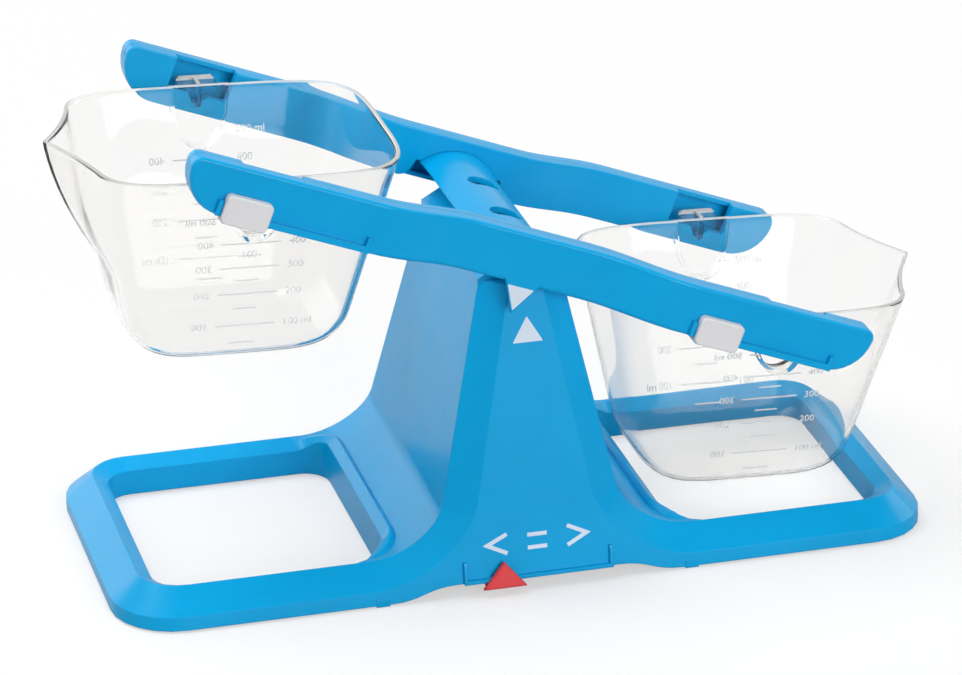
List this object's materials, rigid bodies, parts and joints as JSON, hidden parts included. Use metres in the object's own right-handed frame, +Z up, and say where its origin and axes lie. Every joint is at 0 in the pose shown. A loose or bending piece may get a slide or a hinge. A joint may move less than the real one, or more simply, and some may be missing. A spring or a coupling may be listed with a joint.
{
  "type": "toy balance scale",
  "caption": "Moulded plastic balance scale: a base with a tower and two loops, two linked beams on an axle, clear graduated buckets, sliding trim weights.",
  "frame": {"origin": "on the ground under the beam's pivot, at the middle of the base", "axes": "+X to the right along the beams, -Y to the front with the marker track, +Z up"},
  "size_m": [0.3575, 0.1466, 0.1954],
  "materials": {
    "blue_base": "satin moulded",
    "blue_beam": "satin moulded",
    "blue_saddle": "satin moulded",
    "steel": "drawn wire",
    "steel_screw": "zinc plated",
    "white_block": "fine matt",
    "red_marker": "satin moulded",
    "clear_bucket": "clear polystyrene, polished"
  },
  "bodies": {
    "base": {"base_shell": "blue_base"},
    "beams": {"beam_front_inner": "blue_beam", "beam_front_outer": "blue_beam", "beam_rear_inner": "blue_beam", "beam_rear_outer": "blue_beam", "saddle_bridge": "blue_saddle", "pivot_axle": "steel", "saddle_screw_front_left": "steel_screw", "saddle_screw_front_right": "steel_screw", "saddle_screw_rear_left": "steel_screw", "saddle_screw_rear_right": "steel_screw"},
    "left_bucket": {"bucket_left": "clear_bucket"},
    "right_bucket": {"bucket_right": "clear_bucket"},
    "marker": {"equality_marker": "red_marker"},
    "left_weight": {"compensator_left": "white_block"},
    "right_weight": {"compensator_right": "white_block"}
  },
  "joints": [
    {"name": "beam_rock", "type": "hinge", "parent": "base", "child": "beams", "pos_m": [0, 0, 0.1337], "axis": [0, -1, 0], "range_deg": [0, 42]},
    {"name": "left_bucket_swing", "type": "hinge", "parent": "beams", "child": "left_bucket", "pos_m": [-0.10685, 0, 0.17011], "axis": [0, -1, 0], "range_deg": [-38.6, 0.6]},
    {"name": "right_bucket_swing", "type": "hinge", "parent": "beams", "child": "right_bucket", "pos_m": [0.10582, 0, 0.08847], "axis": [0, -1, 0], "range_deg": [-38.6, 0.6]},
    {"name": "marker_slide", "type": "slide", "parent": "base", "child": "marker", "axis": [1, 0, 0], "range_m": [-0.0056, 0.0348]},
    {"name": "left_weight_slide", "type": "slide", "parent": "beams", "child": "left_weight", "axis": [0.9336, 0, -0.3584], "range_m": [0, 0.0401]},
    {"name": "right_weight_slide", "type": "slide", "parent": "beams", "child": "right_weight", "axis": [0.9336, 0, -0.3584], "range_m": [0, 0.0401]}
  ],
  "couplings": [
    {"joint": "left_bucket_swing", "follows": "beam_rock", "ratio": -0.9},
    {"joint": "right_bucket_swing", "follows": "beam_rock", "ratio": -0.9}
  ]
}
